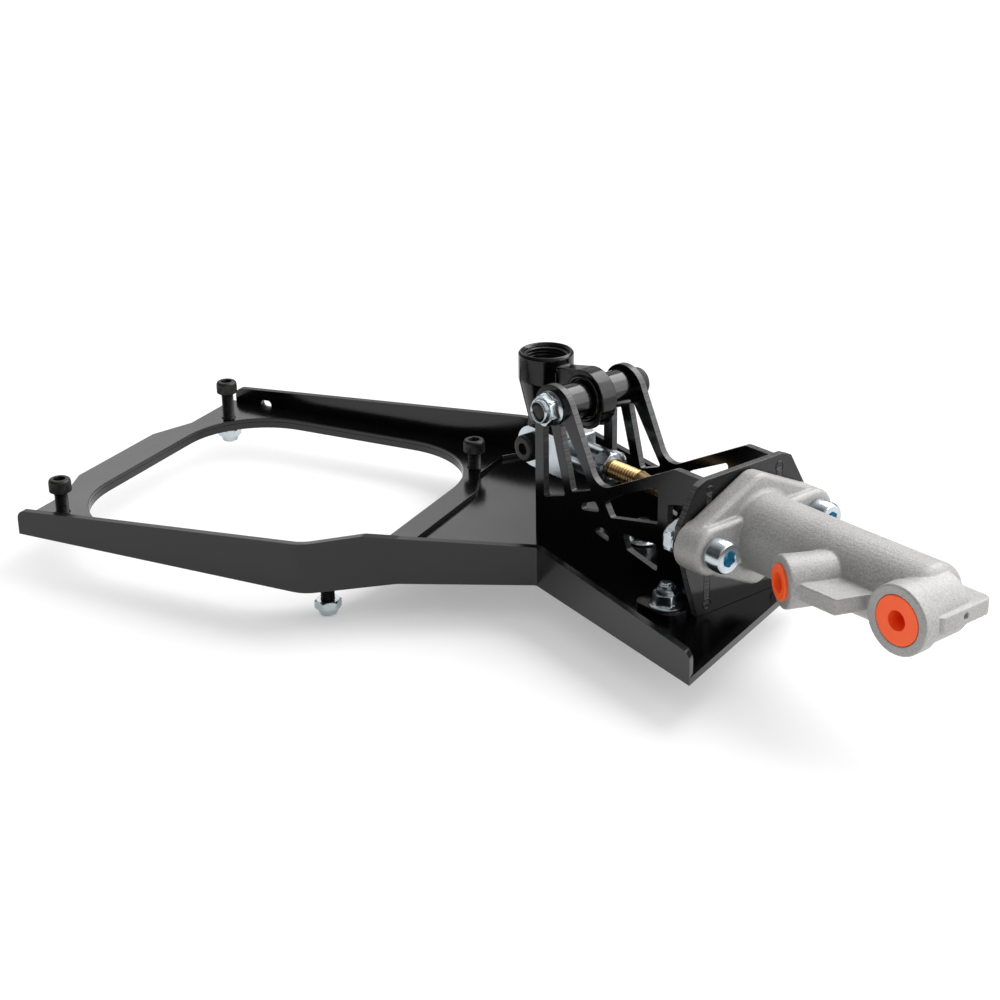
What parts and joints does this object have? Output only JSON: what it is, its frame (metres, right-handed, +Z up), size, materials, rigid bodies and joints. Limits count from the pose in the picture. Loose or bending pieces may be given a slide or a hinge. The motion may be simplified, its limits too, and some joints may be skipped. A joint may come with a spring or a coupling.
{
  "type": "hydraulic handbrake",
  "caption": "Hydraulic handbrake with a folded ring bracket, a lever tower, a clevis push rod and a flange-mounted master cylinder.",
  "frame": {"origin": "middle of the four ring bolts, on the underside of the base sheet", "axes": "+X along the bracket from the ring to the tower and cylinder, +Y to the far flange, +Z up"},
  "size_m": [0.427, 0.1818, 0.0932],
  "materials": {
    "powder_coat": "satin black powder coat",
    "black_oxide": "black oxide",
    "zinc": "bright blue zinc plate",
    "yellow_zinc": "yellow zinc plate",
    "cast": "blasted casting",
    "steel": "turned steel",
    "bronze": "sintered bronze",
    "rubber": "moulded rubber",
    "plug": "orange moulded plastic",
    "piston_metal": "turned and anodised"
  },
  "bodies": {
    "frame": {"base_sheet": "powder_coat", "ring_plate": "powder_coat", "ring_bolts": "black_oxide", "ring_nuts": "zinc", "side_plate_near": "powder_coat", "side_plate_far": "powder_coat", "front_plate": "powder_coat", "tower_floor": "powder_coat", "foot_bolts": "zinc", "foot_nuts": "zinc", "pivot_bolt": "black_oxide", "pivot_nut": "zinc", "pivot_sleeve": "steel", "pivot_spacers": "powder_coat", "cylinder_body": "cast", "cylinder_bolts": "zinc", "cylinder_nuts": "zinc", "return_spring": "steel", "retaining_ring": "steel", "rubber_boot": "rubber", "outlet_cap": "plug", "inlet_cap": "plug"},
    "lever": {"lever_hub": "powder_coat", "hub_bush": "bronze"},
    "link": {"clevis": "zinc", "clevis_pin": "black_oxide", "clevis_pin_nut": "zinc", "lock_nut": "zinc", "push_rod": "yellow_zinc"},
    "plunger": {"piston": "piston_metal", "primary_seal": "rubber", "secondary_seal": "rubber"}
  },
  "joints": [
    {"name": "lever_pivot", "type": "hinge", "parent": "frame", "child": "lever", "pos_m": [0.14782, 0.02101, 0.0648], "axis": [-0.4067, -0.9135, 0], "range_deg": [0, 25], "stiffness_Nm_per_rad": 2, "springref_deg": -5.73},
    {"name": "clevis_hinge", "type": "hinge", "parent": "lever", "child": "link", "pos_m": [0.12225, 0.0324, 0.0364], "axis": [-0.4067, -0.9135, 0], "range_deg": [-21, 0]},
    {"name": "piston_slide", "type": "slide", "parent": "frame", "child": "plunger", "axis": [0.9135, -0.4067, 0], "range_m": [0, 0.0145], "deforming": ["return_spring", "rubber_boot"]}
  ],
  "couplings": [
    {"joint": "clevis_hinge", "follows": "lever_pivot", "ratio": -0.82},
    {"joint": "piston_slide", "follows": "lever_pivot", "m_per_rad": 0.03275}
  ]
}
